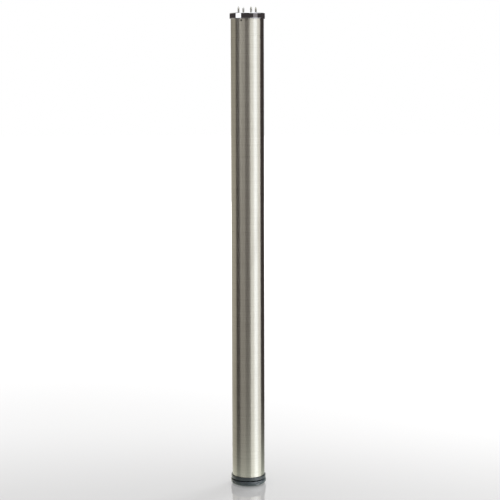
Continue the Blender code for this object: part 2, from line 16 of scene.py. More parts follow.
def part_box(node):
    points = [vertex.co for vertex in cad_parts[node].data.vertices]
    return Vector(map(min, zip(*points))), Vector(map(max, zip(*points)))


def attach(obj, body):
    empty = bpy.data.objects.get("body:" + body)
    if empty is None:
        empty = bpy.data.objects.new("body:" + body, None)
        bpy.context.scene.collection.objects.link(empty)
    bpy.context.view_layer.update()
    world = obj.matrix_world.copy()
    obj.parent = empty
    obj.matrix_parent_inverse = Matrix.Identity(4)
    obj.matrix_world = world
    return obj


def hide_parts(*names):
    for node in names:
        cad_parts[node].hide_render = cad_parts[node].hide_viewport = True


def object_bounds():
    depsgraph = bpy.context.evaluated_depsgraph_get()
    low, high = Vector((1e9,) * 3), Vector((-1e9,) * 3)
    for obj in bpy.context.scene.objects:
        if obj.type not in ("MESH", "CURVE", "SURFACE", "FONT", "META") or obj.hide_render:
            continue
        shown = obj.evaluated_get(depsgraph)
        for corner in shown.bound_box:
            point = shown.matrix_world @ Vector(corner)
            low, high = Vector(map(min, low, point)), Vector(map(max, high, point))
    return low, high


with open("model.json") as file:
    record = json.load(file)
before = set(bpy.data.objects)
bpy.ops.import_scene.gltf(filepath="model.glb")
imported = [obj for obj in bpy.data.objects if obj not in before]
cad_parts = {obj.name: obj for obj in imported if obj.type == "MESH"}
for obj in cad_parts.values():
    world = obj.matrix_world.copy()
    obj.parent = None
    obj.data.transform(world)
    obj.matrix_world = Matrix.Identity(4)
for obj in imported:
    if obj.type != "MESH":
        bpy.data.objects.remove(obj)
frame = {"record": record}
cad_low, cad_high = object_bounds()

MM = 0.001
FRONT = Vector((0.0, -1.0, 0.0))


def box_of(node):
    low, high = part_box(node)
    return Vector(low), Vector(high)


# Sizes that the frame gives
tube_low, tube_high = box_of("leg_tube")
plate_low, plate_high = box_of("mounting_plate")
plug_low, plug_high = box_of("end_plug")
disc_low, disc_high = box_of("foot_disc")
pad_high = box_of("foot_pad")[1]
stem_low, stem_high = box_of("foot_stem")
nut_low, nut_high = box_of("plug_nut")

tube_radius = tube_high.x
rim_radius = plate_high.x
lip_radius = plug_high.x
disc_radius = disc_high.x
pad_radius = pad_high.x

# Sizes inside the pieces, as the CAD has them
GAP = 0.3 * MM
TUBE_WALL = 1.0 * MM
END_BREAK = 0.12 * MM  # rounding of edges that only lose their burr

RIM_HEIGHT = 10.0 * MM
RIM_FILLET = 0.9 * MM
WEB = 4.0 * MM
SPIGOT_WALL = 3.5 * MM
SPIGOT_LEAD = 0.8 * MM
CENTRE_HOLE = 4.0 * MM
CENTRE_BOSS = 7.5 * MM
CENTRE_BOSS_DROP = 5.0 * MM
PLATE_RIB = 2.5 * MM
PLATE_RIB_DROP = 6.0 * MM

SCREW_RADIUS = 2.0 * MM
SCREW_CORE = 1.35 * MM
SCREW_NECK = 1.8 * MM  # radius of the plain shank
SCREW_PITCH = 1.8 * MM
SCREW_LENGTH = 16.0 * MM
SCREW_PLAIN = 5.2 * MM  # head and plain shank under the thread
SCREW_TIP = 4.0 * MM
SCREW_TIP_RADIUS = 0.12 * MM
SCREW_HEAD = 4.0 * MM
SCREW_HEAD_LAND = 0.3 * MM
SCREW_HEAD_BREAK = 0.1 * MM
SCREW_INSET = 8.2 * MM
SCREW_COUNT = 4
CROSS_SPAN = 4.8 * MM
CROSS_WIDTH = 1.25 * MM
CROSS_DEPTH = 2.1 * MM
CROSS_TAPER = 0.5  # of its width and span, at the bottom of the recess

KEY_ANGLE = math.radians(-21.0)
KEY_DROP = 3.0 * MM
KEY_HOLE = 1.5 * MM
SET_RADIUS = 2.5 * MM
SET_LENGTH = 8.0 * MM
SET_CHAMFER = 0.5 * MM
SET_BACKING = 1.5 * MM
SET_BOSS_WALL = 2.4 * MM
SOCKET_ACROSS = 2.5 * MM
SOCKET_DEPTH = 3.0 * MM

LIP_HEIGHT = 6.0 * MM
LIP_FILLET = 0.8 * MM
PLUG_FLOOR = 3.0 * MM
SLEEVE_WALL = 2.0 * MM
CRUSH_RIB = 1.0 * MM
CRUSH_RIB_WIDTH = 1.6 * MM
CRUSH_RIB_COUNT = 12
CRUSH_RIB_SHORT = 3.0 * MM  # from a rib's end to the sleeve's
PLUG_WEB = 1.8 * MM
PLUG_WEB_COUNT = 8
PLUG_WEB_SHORT = 2.0 * MM  # from a web's top to the hub's
HUB_WALL = 2.0 * MM
HUB_ROOF = 3.0 * MM
RECESS_DEPTH = 3.2 * MM
HUB_CLEARANCE = 1.0 * MM

HEX_ACROSS = 17.0 * MM
HEX_FACE = 0.95  # of the width across flats, the round that the corners' chamfer leaves
HEX_CHAMFER = math.radians(30.0)
HEAD_HEIGHT = 6.4 * MM
THREAD_RADIUS = 5.0 * MM
THREAD_PITCH = 1.5 * MM
THREAD_FLANK = math.radians(30.0)  # from square to the axis
ROOT_FLAT = 0.25  # of the pitch
CREST_FLAT = 0.125
FLANK = (1 - ROOT_FLAT - CREST_FLAT) / 2
THREAD_CLEARANCE = 0.3 * MM
THREAD_PHASE = 0.4  # of a pitch, from the head down to where a turn begins
THREAD_FIRST_ANGLE = math.radians(5.0)  # from +X

DISC_TOP_FILLET = 1.2 * MM
DISC_BOTTOM_FILLET = 5.6 * MM
DISC_ROOF = 3.0 * MM
DISC_HUB_RISE = 2.5 * MM
DISC_SEAT = 1.0 * MM
DISC_RIB = 2.0 * MM
DISC_RIB_COUNT = 8
SCOOP_COUNT = 8
SCOOP_DEPTH = 1.1 * MM
SCOOP_HALF_HEIGHT = 3.0 * MM
SCOOP_HALF_LENGTH = 8.8 * MM
SCOOP_LEVEL = 5.4 * MM
SCOOP_ANGLE = math.radians(-11.25)

PAD_THICKNESS = 1.7 * MM
PIVOT_RADIUS = 3.0 * MM
PIVOT_HEIGHT = 2.5 * MM
GROOVE_COUNT = 3
GROOVE_EDGE = 4.8 * MM
GROOVE_PITCH = 5.0 * MM
GROOVE_WIDTH = 1.2 * MM
GROOVE_DEPTH = 0.5 * MM

# Facets
ROUND = 256
SMALL = 64
HEX_STEPS = 96
THREAD_STEPS = 48
THREAD_ROWS = 16  # along one pitch
ARC_STEPS = 8
OVERRUN = 1.0 * MM  # how far a cutting mesh reaches past what it cuts
MERGE = 1e-4 * MM

# Edges sharper than these stay sharp
CREASE = 35
THREAD_CREASE = 25
WOOD_SCREW_CREASE = 30

bore_radius = tube_radius - TUBE_WALL
spigot_radius = bore_radius - GAP
spigot_inside = spigot_radius - SPIGOT_WALL
rim_bottom = plate_high.z - RIM_HEIGHT
web_bottom = plate_high.z - WEB
key_level = tube_high.z - KEY_DROP
screw_circle = spigot_inside - SCREW_INSET
crush_radius = bore_radius - GAP
sleeve_radius = crush_radius - CRUSH_RIB
sleeve_inside = sleeve_radius - SLEEVE_WALL
hub_radius = HEX_ACROSS / math.sqrt(3) + GAP + HUB_WALL
recess_radius = hub_radius + HUB_CLEARANCE
plug_hub_radius = recess_radius + HUB_WALL
stem_hole = THREAD_RADIUS + GAP
head_top = stem_low.z + HEAD_HEIGHT
pad_recess = pad_radius + GAP
disc_core = pad_recess - DISC_SEAT

# What a light shines on
leg_pieces = bpy.data.collections.new("leg_pieces")
foot_only = bpy.data.collections.new("foot_only")
floor_only = bpy.data.collections.new("floor_only")


# Mesh building


def radial(angle):
    return Matrix.Rotation(angle, 3, "Z") @ FRONT


def corner_arc(before, corner, after, radius):
    """Points of the arc that rounds one corner of an outline."""
    corner = Vector(corner)
    to_before = (Vector(before) - corner).normalized()
    to_after = (Vector(after) - corner).normalized()
    half = to_before.angle(to_after) / 2
    centre = corner + (to_before + to_after).normalized() * (radius / math.sin(half))
    start = corner + to_before * (radius / math.tan(half)) - centre
    end = corner + to_after * (radius / math.tan(half)) - centre
    sweep = start.angle_signed(end)
    turns = (Matrix.Rotation(-sweep * i / ARC_STEPS, 2) for i in range(ARC_STEPS + 1))
    return [tuple(centre + turn @ start) for turn in turns]


def outline(*corners):
    """Closed (radius, height) outline. A corner with a third value is rounded to that radius."""
    points = []
    for index, corner in enumerate(corners):
        if len(corner) == 2:
            points.append(corner)
        else:
            after = corners[(index + 1) % len(corners)][:2]
            points += corner_arc(corners[index - 1][:2], corner[:2], after, corner[2])
    return points


def turned(points, steps=ROUND):
    """Mesh of a closed (radius, height) outline swept right round Z."""
    bm = bmesh.new()
    verts = [bm.verts.new((radius, 0.0, height)) for radius, height in points]
    edges = [bm.edges.new((verts[i - 1], verts[i])) for i in range(len(verts))]
    whole_turn = {"cent": (0, 0, 0), "axis": (0, 0, 1), "angle": math.tau, "use_merge": True}
    bmesh.ops.spin(bm, geom=verts + edges, steps=steps, **whole_turn)
    return bm


def add_prism(bm, base, height, place=Matrix.Identity(4), end_scale=1.0):
    """Adds a prism on a base outline, its far end scaled, and gives the bmesh back."""
    low = [bm.verts.new(place @ Vector((x, y, 0.0))) for x, y in base]
    high = [bm.verts.new(place @ Vector((x * end_scale, y * end_scale, height))) for x, y in base]
    bm.faces.new(list(reversed(low)))
    bm.faces.new(high)
    for i in range(len(base)):
        bm.faces.new((low[i - 1], low[i], high[i], high[i - 1]))
    return bm


def circle_points(radius, steps):
    angles = (math.tau * i / steps for i in range(steps))
    return [(radius * math.cos(a), radius * math.sin(a)) for a in angles]


def hexagon(across):
    return circle_points(across / math.sqrt(3), 6)


def box_points(x0, x1, width):
    return [(x0, -width / 2), (x1, -width / 2), (x1, width / 2), (x0, width / 2)]


def spokes(inner, outer, thickness, low, high, count, start=0.0):
    """Radial ribs between two radii, the first one at an angle from the front."""
    bm = bmesh.new()
    for i in range(count):
        facing = Matrix.Rotation(start + math.tau * i / count - math.pi / 2, 4, "Z")
        place = facing @ Matrix.Translation((0, 0, low))
        add_prism(bm, box_points(inner, outer, thickness), high - low, place)
    return bm


def hex_blank(across, low, high, chamfer_top):
    """Hexagonal prism with 30 degrees turned off its corners, underneath and, if asked, on top."""
    bm = bmesh.new()
    inner = across / 2 * HEX_FACE
    rings = [[], [], [], []]
    for i in range(HEX_STEPS):
        angle = math.tau * i / HEX_STEPS
        outer = across / 2 / math.cos(angle % (math.tau / 6) - math.tau / 12)
        drop = (outer - inner) * math.tan(HEX_CHAMFER)
        turn = Matrix.Rotation(angle, 3, "Z")
        top_rim = (inner, high) if chamfer_top else (outer, high)
        top_side = (outer, high - drop) if chamfer_top else (outer, (low + high) / 2)
        levels = ((inner, low), (outer, low + drop), top_side, top_rim)
        for ring, (radius, level) in zip(rings, levels):
            ring.append(bm.verts.new(turn @ Vector((radius, 0.0, level))))
    bm.faces.new(rings[0])
    bm.faces.new(rings[3])
    for lower, upper in zip(rings, rings[1:]):
        for i in range(HEX_STEPS):
            bm.faces.new((lower[i - 1], lower[i], upper[i], upper[i - 1]))
    return bm


def ridge(share, crest, root):
    """Radius of a 60 degree thread at a share of its pitch, counted from the start of its root."""
    share %= 1.0
    if share < ROOT_FLAT:
        return root
    if share < ROOT_FLAT + FLANK:
        return root + (crest - root) * (share - ROOT_FLAT) / FLANK
    if share < ROOT_FLAT + FLANK + CREST_FLAT:
        return crest
    return crest - (crest - root) * (share - ROOT_FLAT - FLANK - CREST_FLAT) / FLANK


def threaded_rod(low, high, crest, root, pitch, start, limit):
    """Closed rod with a right-hand thread, one of whose turns begins at the start height.

    Rows of points follow the helix. limit(height) is the largest radius allowed at a height.
    """
    bm = bmesh.new()
    first = math.floor((low - start) / pitch - 1) * THREAD_ROWS
    last = math.ceil((high - start) / pitch + 1) * THREAD_ROWS
    columns = []
    for i in range(THREAD_STEPS):
        turn = i / THREAD_STEPS
        facing = Matrix.Rotation(math.tau * turn + THREAD_FIRST_ANGLE, 3, "Z")
        column = []
        for k in range(first, last + 1):
            level = min(max(start + (turn + k / THREAD_ROWS) * pitch, low), high)
            share = (level - start) / pitch - turn
            radius = min(ridge(share, crest, root), limit(level))
            column.append(bm.verts.new(facing @ Vector((radius, 0.0, level))))
        columns.append(column)
    for i in range(THREAD_STEPS):
        here = columns[i]
        there = columns[(i + 1) % THREAD_STEPS]
        shift = THREAD_ROWS if i + 1 == THREAD_STEPS else 0
        for k in range(len(here) - 1):
            if k + 1 + shift < len(there):
                bm.faces.new((here[k], there[k + shift], there[k + 1 + shift], here[k + 1]))
    bmesh.ops.remove_doubles(bm, verts=bm.verts, dist=MERGE)
    bmesh.ops.dissolve_degenerate(bm, edges=bm.edges, dist=MERGE)
    loose = [v for v in bm.verts if not v.link_faces]
    bmesh.ops.delete(bm, geom=loose, context="VERTS")
    rims = [e for e in bm.edges if e.is_boundary]
    bmesh.ops.holes_fill(bm, edges=rims, sides=0)
    return bm


def make_piece(name, bm, node, material):
    """Turns a bmesh into the piece that stands for a CAD node, on that node's body."""
    obj = mesh_object(name, bm)
    obj.data.materials.append(material)
    leg_pieces.objects.link(obj)
    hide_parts(node)
    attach(obj, body_of(node))
    return obj


def body_of(node):
    bodies = frame["record"]["behaviour"]["bodies"]
    return next(body for body, nodes in bodies.items() if node in nodes)


def mesh_object(name, bm):
    bmesh.ops.remove_doubles(bm, verts=bm.verts, dist=MERGE)
    bmesh.ops.recalc_face_normals(bm, faces=bm.faces)
    mesh = bpy.data.meshes.new(name)
    bm.to_mesh(mesh)
    bm.free()
    obj = bpy.data.objects.new(name, mesh)
    bpy.context.scene.collection.objects.link(obj)
    return obj


def combine(obj, bm, operation):
    """Joins, cuts or trims a piece with another mesh, and keeps only the result."""
    other = mesh_object(obj.name + "_tool", bm)
    modifier = obj.modifiers.new("combine", "BOOLEAN")
    modifier.operation = operation
    modifier.solver = "EXACT"
    modifier.object = other
    bake(obj)
    bpy.data.meshes.remove(other.data)


def bake(obj):
    """Applies a piece's modifiers to its mesh."""
    graph = bpy.context.evaluated_depsgraph_get()
    made = bpy.data.meshes.new_from_object(obj.evaluated_get(graph))
    obj.modifiers.clear()
    old = obj.data
    obj.data = made
    bpy.data.meshes.remove(old)
    made.name = obj.name


def smooth(obj, angle):
    """Smooth shading, with edges sharper than an angle kept and large faces left flat."""
    obj.data.shade_smooth()
    obj.data.set_sharp_from_angle(angle=math.radians(angle))
    modifier = obj.modifiers.new("flatten", "WEIGHTED_NORMAL")
    modifier.keep_sharp = True
    modifier.weight = 100
    bake(obj)


# Materials


class Look:
    """A node material built round one Principled shader."""

    def __init__(self, name, metallic=0.0, **constants):
        self.material = bpy.data.materials.new(name)
        self.material.use_nodes = True
        self.tree = self.material.node_tree
        self.shader = self.tree.nodes["Principled BSDF"]
        self.shader.inputs["Metallic"].default_value = metallic
        for socket, value in constants.items():
            self.shader.inputs[socket.replace("_", " ")].default_value = value
        self.place = self.add("ShaderNodeTexCoord").outputs["Object"]

    def add(self, kind, **settings):
        node = self.tree.nodes.new(kind)
        for key, value in settings.items():
            setattr(node, key, value)
        return node

    def plug(self, node, name, value):
        """Gives a node's input a constant or a link."""
        socket = node.inputs[name]
        if isinstance(value, bpy.types.NodeSocket):
            self.tree.links.new(value, socket)
        else:
            socket.default_value = value

    def math(self, operation, a, b=0.0, clamp=False):
        node = self.add("ShaderNodeMath", operation=operation, use_clamp=clamp)
        self.plug(node, 0, a)
        self.plug(node, 1, b)
        return node.outputs[0]

    def stretched(self, scale):
        """Object coordinates in metres, times a scale along each axis."""
        node = self.add("ShaderNodeMapping")
        self.plug(node, "Vector", self.place)
        self.plug(node, "Scale", scale)
        return node.outputs[0]

    def noise(self, vector, scale=1.0, detail=3.0, distortion=0.0):
        node = self.add("ShaderNodeTexNoise")
        self.plug(node, "Vector", vector)
        self.plug(node, "Scale", scale)
        self.plug(node, "Detail", detail)
        self.plug(node, "Distortion", distortion)
        return node.outputs[0]

    def between(self, value, low, high, to_low=0.0, to_high=1.0):
        """Maps a value's range smoothly onto another range."""
        node = self.add("ShaderNodeMapRange", interpolation_type="SMOOTHSTEP")
        for name, number in zip(range(5), (value, low, high, to_low, to_high)):
            self.plug(node, name, number)
        return node.outputs[0]

    def mix(self, share, a, b):
        node = self.add("ShaderNodeMix", data_type="RGBA")
        self.plug(node, 0, share)
        self.plug(node, 6, a if isinstance(a, bpy.types.NodeSocket) else (*a, 1.0))
        self.plug(node, 7, b if isinstance(b, bpy.types.NodeSocket) else (*b, 1.0))
        return node.outputs[2]

    def part(self, axis):
        """One component of the object coordinates."""
        node = self.add("ShaderNodeSeparateXYZ")
        self.plug(node, 0, self.place)
        return node.outputs[axis]

    def facing_up(self):
        node = self.add("ShaderNodeSeparateXYZ")
        self.plug(node, 0, self.add("ShaderNodeNewGeometry").outputs["Normal"])
        return node.outputs[2]

    def distance_from_axis(self):
        flat = self.stretched((1.0, 1.0, 0.0))
        node = self.add("ShaderNodeVectorMath", operation="LENGTH")
        self.plug(node, 0, flat)
        return node.outputs["Value"]

    def bumps(self, *layers):
        """Adds up bump layers, each a (height, depth in metres)."""
        normal = None
        for height, depth in layers:
            node = self.add("ShaderNodeBump")
            self.plug(node, "Strength", 1.0)
            self.plug(node, "Distance", depth)
            self.plug(node, "Height", height)
            if normal is not None:
                self.plug(node, "Normal", normal)
            normal = node.outputs[0]
        self.plug(self.shader, "Normal", normal)

    def finish(self, colour, roughness):
        self.plug(self.shader, "Base Color", colour)
        self.plug(self.shader, "Roughness", roughness)
        return self.material


def brushed_steel():
    """Stainless steel brushed round the tube, with belt lines, smudges and a few handling scratches."""
    look = Look("brushed_steel", metallic=1.0, Anisotropic=0.95, Anisotropic_Rotation=0.25)
    tangent = look.add("ShaderNodeTangent", direction_type="RADIAL", axis="Z")
    look.plug(look.shader, "Tangent", tangent.outputs[0])
    hairlines = look.noise(look.stretched((45.0, 45.0, 9000.0)), detail=4.0)
    belts = look.noise(look.stretched((9.0, 9.0, 620.0)), detail=3.0)
    smudges = look.noise(look.stretched((22.0, 22.0, 11.0)), detail=5.0, distortion=0.6)
    nicks = look.noise(look.stretched((900.0, 900.0, 40.0)), detail=2.0, distortion=2.5)
    scratch = look.between(nicks, 0.70, 0.76)
    smudge = look.between(smudges, 0.52, 0.72)
    grain = look.math("ADD", look.math("MULTIPLY", hairlines, 0.6), look.math("MULTIPLY", belts, 0.4))
    tone = look.mix(look.between(grain, 0.35, 0.65), (0.545, 0.528, 0.472), (0.635, 0.618, 0.560))
    tone = look.mix(look.math("MULTIPLY", smudge, 0.25), tone, (0.50, 0.475, 0.43))
    tone = look.mix(look.math("MULTIPLY", scratch, 0.35), tone, (0.72, 0.70, 0.66))
    rough = look.between(grain, 0.3, 0.7, 0.27, 0.34)
    rough = look.math("ADD", rough, look.math("MULTIPLY", smudge, 0.035))
    look.bumps((hairlines, 0.004 * MM), (belts, 0.003 * MM))
    return look.finish(tone, rough)


def chrome():
    """Bright plating on a die casting: polished rim, faced top, duller inside the spigot."""
    look = Look("chrome", metallic=1.0)
    from_axis = look.distance_from_axis()
    top = look.between(look.facing_up(), 0.90, 0.97)
    inside = look.math("LESS_THAN", from_axis, spigot_inside + 0.2 * MM)
    peel = look.noise(look.place, scale=420.0, detail=2.0)
    swirls = look.noise(look.stretched((700.0, 700.0, 900.0)), detail=3.0, distortion=3.0)
    wipe = look.noise(look.place, scale=60.0, detail=4.0, distortion=0.8)
    faced = look.noise(look.math("MULTIPLY", from_axis, 5200.0), detail=2.0)
    cast = look.noise(look.place, scale=1700.0, detail=3.0)
    dull = look.math("MAXIMUM", look.math("MULTIPLY", top, 0.85), inside)
    rough = look.math("ADD", look.between(wipe, 0.45, 0.75, 0.035, 0.085), look.math("MULTIPLY", dull, 0.2))
    rough = look.math("ADD", rough, look.between(swirls, 0.62, 0.70, 0.0, 0.04))
    tone = look.mix(look.between(wipe, 0.4, 0.8), (0.68, 0.69, 0.71), (0.62, 0.63, 0.66))
    tone = look.mix(look.math("MULTIPLY", dull, 0.6), tone, (0.52, 0.52, 0.53))
    look.bumps(
        (peel, 0.003 * MM),
        (look.math("MULTIPLY", faced, top), 0.012 * MM),
        (look.math("MULTIPLY", cast, inside), 0.03 * MM),
    )
    return look.finish(tone, rough)


def zinc_plate():
    """Bright zinc on steel, with a faint passivation tint and dull patches."""
    look = Look("zinc_plate", metallic=1.0)
    bloom = look.noise(look.place, scale=190.0, detail=5.0, distortion=1.0)
    grain = look.noise(look.place, scale=2600.0, detail=2.0)
    tone = look.mix(look.between(bloom, 0.35, 0.65), (0.60, 0.61, 0.62), (0.55, 0.54, 0.47))
    rough = look.math("ADD", look.between(bloom, 0.3, 0.7, 0.24, 0.36), look.math("MULTIPLY", grain, 0.06))
    look.bumps((grain, 0.008 * MM), (bloom, 0.01 * MM))
    return look.finish(tone, rough)


def black_oxide():
    """Blackened steel of a socket screw, oily and a little worn."""
    look = Look("black_oxide", metallic=0.85)
    wear = look.noise(look.place, scale=700.0, detail=4.0)
    tone = look.mix(look.between(wear, 0.55, 0.75), (0.035, 0.035, 0.038), (0.14, 0.13, 0.125))
    look.bumps((wear, 0.01 * MM))
    return look.finish(tone, look.between(wear, 0.3, 0.7, 0.28, 0.42))


def black_plastic():
    """Moulded nylon with a fine spark-eroded texture, scuffed and dusty near the floor."""
    look = Look("black_plastic", Specular_IOR_Level=0.5)
    spark = look.noise(look.place, scale=5200.0, detail=3.0)
    flow = look.noise(look.stretched((140.0, 140.0, 320.0)), detail=4.0, distortion=0.5)
    dust = look.noise(look.place, scale=900.0, detail=5.0)
    scuffs = look.noise(look.stretched((160.0, 160.0, 2600.0)), detail=3.0, distortion=1.2)
    low = look.between(look.part(2), 1.0 * MM, 5.5 * MM, 1.0, 0.0)
    ledge = look.between(look.facing_up(), 0.6, 0.95)
    dusty = look.math("MULTIPLY", look.between(dust, 0.42, 0.7), look.math("MAXIMUM", ledge, low))
    exposed = look.math("ADD", low, 0.25, clamp=True)
    scuffed = look.math("MULTIPLY", look.between(scuffs, 0.60, 0.72), exposed)
    tone = look.mix(look.between(flow, 0.3, 0.7), (0.026, 0.034, 0.042), (0.036, 0.044, 0.052))
    tone = look.mix(look.math("MULTIPLY", dusty, 0.10), tone, (0.25, 0.25, 0.24))
    tone = look.mix(look.math("MULTIPLY", scuffed, 0.15), tone, (0.12, 0.125, 0.13))
    rough = look.math("ADD", look.between(flow, 0.3, 0.7, 0.16, 0.24), look.math("MULTIPLY", dusty, 0.2))
    rough = look.math("ADD", rough, look.math("MULTIPLY", scuffed, 0.12), clamp=True)
    look.bumps((spark, 0.012 * MM), (scuffs, 0.006 * MM))
    return look.finish(tone, rough)


def pad_rubber():
    """Matte non-slip rubber, greyed where it picks up dirt."""
    look = Look("pad_rubber", Specular_IOR_Level=0.3)
    pores = look.noise(look.place, scale=3200.0, detail=4.0)
    dirt = look.noise(look.place, scale=160.0, detail=6.0, distortion=0.4)
    tone = look.mix(look.between(dirt, 0.4, 0.7), (0.045, 0.045, 0.046), (0.10, 0.098, 0.092))
    look.bumps((pores, 0.03 * MM))
    return look.finish(tone, look.between(pores, 0.3, 0.7, 0.74, 0.9))


# Pieces


def make_tube(material):
    points = outline(
        (bore_radius, tube_low.z, END_BREAK),
        (tube_radius, tube_low.z, END_BREAK),
        (tube_radius, tube_high.z, END_BREAK),
        (bore_radius, tube_high.z, END_BREAK),
    )
    tube = make_piece("brushed_tube", turned(points), "leg_tube", material)
    key_hole = add_prism(bmesh.new(), circle_points(KEY_HOLE, SMALL), rim_radius, along_key(0.0))
    combine(tube, key_hole, "DIFFERENCE")
    smooth(tube, CREASE)


def along_key(start):
    """Placing that turns Z outwards along the key hole, from a radius."""
    outwards = radial(KEY_ANGLE).to_track_quat("Z", "Y").to_matrix().to_4x4()
    return Matrix.Translation((0, 0, key_level)) @ outwards @ Matrix.Translation((0, 0, start))


def plate_points():
    """Outline of the turned body of the mounting plate."""
    return outline(
        (CENTRE_HOLE, plate_high.z, END_BREAK),
        (CENTRE_HOLE, web_bottom - CENTRE_BOSS_DROP, END_BREAK),
        (CENTRE_BOSS, web_bottom - CENTRE_BOSS_DROP, END_BREAK),
        (CENTRE_BOSS, web_bottom, RIM_FILLET),
        (spigot_inside, web_bottom, RIM_FILLET),
        (spigot_inside, plate_low.z, END_BREAK),
        (spigot_radius - SPIGOT_LEAD, plate_low.z),
        (spigot_radius, plate_low.z + SPIGOT_LEAD),
        (spigot_radius, rim_bottom),
        (rim_radius, rim_bottom, RIM_FILLET),
        (rim_radius, plate_high.z, RIM_FILLET),
    )


def make_plate(material):
    plate = make_piece("chrome_plate", turned(plate_points()), "mounting_plate", material)
    overlap = SPIGOT_WALL / 2
    ribs = spokes(
        CENTRE_BOSS - overlap,
        spigot_inside + overlap,
        PLATE_RIB,
        web_bottom - PLATE_RIB_DROP,
        web_bottom + WEB / 2,
        SCREW_COUNT,
        KEY_ANGLE,
    )
    combine(plate, ribs, "UNION")
    half_boss = SET_RADIUS + SET_BOSS_WALL
    inner = spigot_radius - GAP / 3 - SET_LENGTH - SET_BACKING
    low, high = key_level - half_boss, web_bottom + WEB / 2
    boss = spokes(inner, spigot_inside + overlap, 2 * half_boss, low, high, 1, KEY_ANGLE)
    combine(plate, boss, "UNION")
    bore = circle_points(SET_RADIUS + GAP / 3, SMALL)
    reach = spigot_radius - inner + 2 * OVERRUN
    tapped = add_prism(bmesh.new(), bore, reach, along_key(inner - OVERRUN))
    combine(plate, tapped, "DIFFERENCE")
    shank, mouth = SCREW_RADIUS + GAP, SCREW_HEAD + GAP * math.sqrt(2)
    sink = [
        (0.0, web_bottom - OVERRUN),
        (mouth, web_bottom - OVERRUN),
        (mouth, web_bottom + SCREW_HEAD_LAND),
        (shank, web_bottom + SCREW_HEAD_LAND + mouth - shank),
        (shank, plate_high.z + OVERRUN),
        (0.0, plate_high.z + OVERRUN),
    ]
    for spot in screw_spots():
        hole = turned(sink, SMALL)
        bmesh.ops.translate(hole, verts=hole.verts, vec=spot)
        combine(plate, hole, "DIFFERENCE")
    smooth(plate, CREASE)


def screw_spots():
    for i in range(SCREW_COUNT):
        yield radial(KEY_ANGLE + math.tau * (i + 0.5) / SCREW_COUNT) * screw_circle


def cross_points():
    far, near = CROSS_SPAN / 2, CROSS_WIDTH / 2
    points = []
    for quarter in range(4):
        turn = Matrix.Rotation(math.tau * quarter / 4, 2)
        points += [tuple(turn @ Vector(p)) for p in ((far, -near), (far, near), (near, near))]
    return points


def screw_limit(height):
    """Largest radius of a wood screw at a height above its head's face."""
    to_tip = SCREW_LENGTH - height
    return max(SCREW_TIP_RADIUS, SCREW_RADIUS * min(1.0, to_tip / SCREW_TIP))


def make_wood_screws(material):
    """Countersunk wood screws with a coarse thread that runs out to the point."""
    neck = SCREW_HEAD_LAND + SCREW_HEAD - SCREW_RADIUS
    head = [
        (0.0, 0.0),
        (SCREW_HEAD - SCREW_HEAD_BREAK, 0.0),
        (SCREW_HEAD, SCREW_HEAD_LAND / 2),
        (SCREW_HEAD, SCREW_HEAD_LAND),
        (SCREW_NECK, neck),
        (SCREW_NECK, SCREW_PLAIN),
        (0.0, SCREW_PLAIN + OVERRUN / 2),
    ]
    for number, spot in enumerate(screw_spots(), start=1):
        node = f"plate_screw_{number}"
        screw = make_piece(f"wood_screw_{number}", turned(head, SMALL), node, material)
        rod = threaded_rod(
            SCREW_PLAIN - OVERRUN,
            SCREW_LENGTH,
            SCREW_RADIUS,
            SCREW_CORE,
            SCREW_PITCH,
            SCREW_PLAIN + number * SCREW_PITCH / SCREW_COUNT,
            screw_limit,
        )
        combine(screw, rod, "UNION")
        recess = bmesh.new()
        place = Matrix.Translation((0, 0, -OVERRUN / 2))
        add_prism(recess, cross_points(), CROSS_DEPTH + OVERRUN / 2, place, CROSS_TAPER)
        combine(screw, recess, "DIFFERENCE")
        screw.data.transform(Matrix.Translation(spot + Vector((0, 0, web_bottom))))
        smooth(screw, WOOD_SCREW_CREASE)


def make_set_screw(material):
    points = [
        (0.0, 0.0),
        (SET_RADIUS - SET_CHAMFER, 0.0),
        (SET_RADIUS, SET_CHAMFER),
        (SET_RADIUS, SET_LENGTH - SET_CHAMFER),
        (SET_RADIUS - SET_CHAMFER, SET_LENGTH),
        (0.0, SET_LENGTH),
    ]
    screw = make_piece("socket_set_screw", turned(points, SMALL), "set_screw", material)
    socket = bmesh.new()
    place = Matrix.Translation((0, 0, SET_LENGTH - SOCKET_DEPTH))
    add_prism(socket, hexagon(SOCKET_ACROSS), SOCKET_DEPTH + OVERRUN, place)
    combine(screw, socket, "DIFFERENCE")
    screw.data.transform(along_key(spigot_radius - GAP / 3 - SET_LENGTH))
    smooth(screw, CREASE)


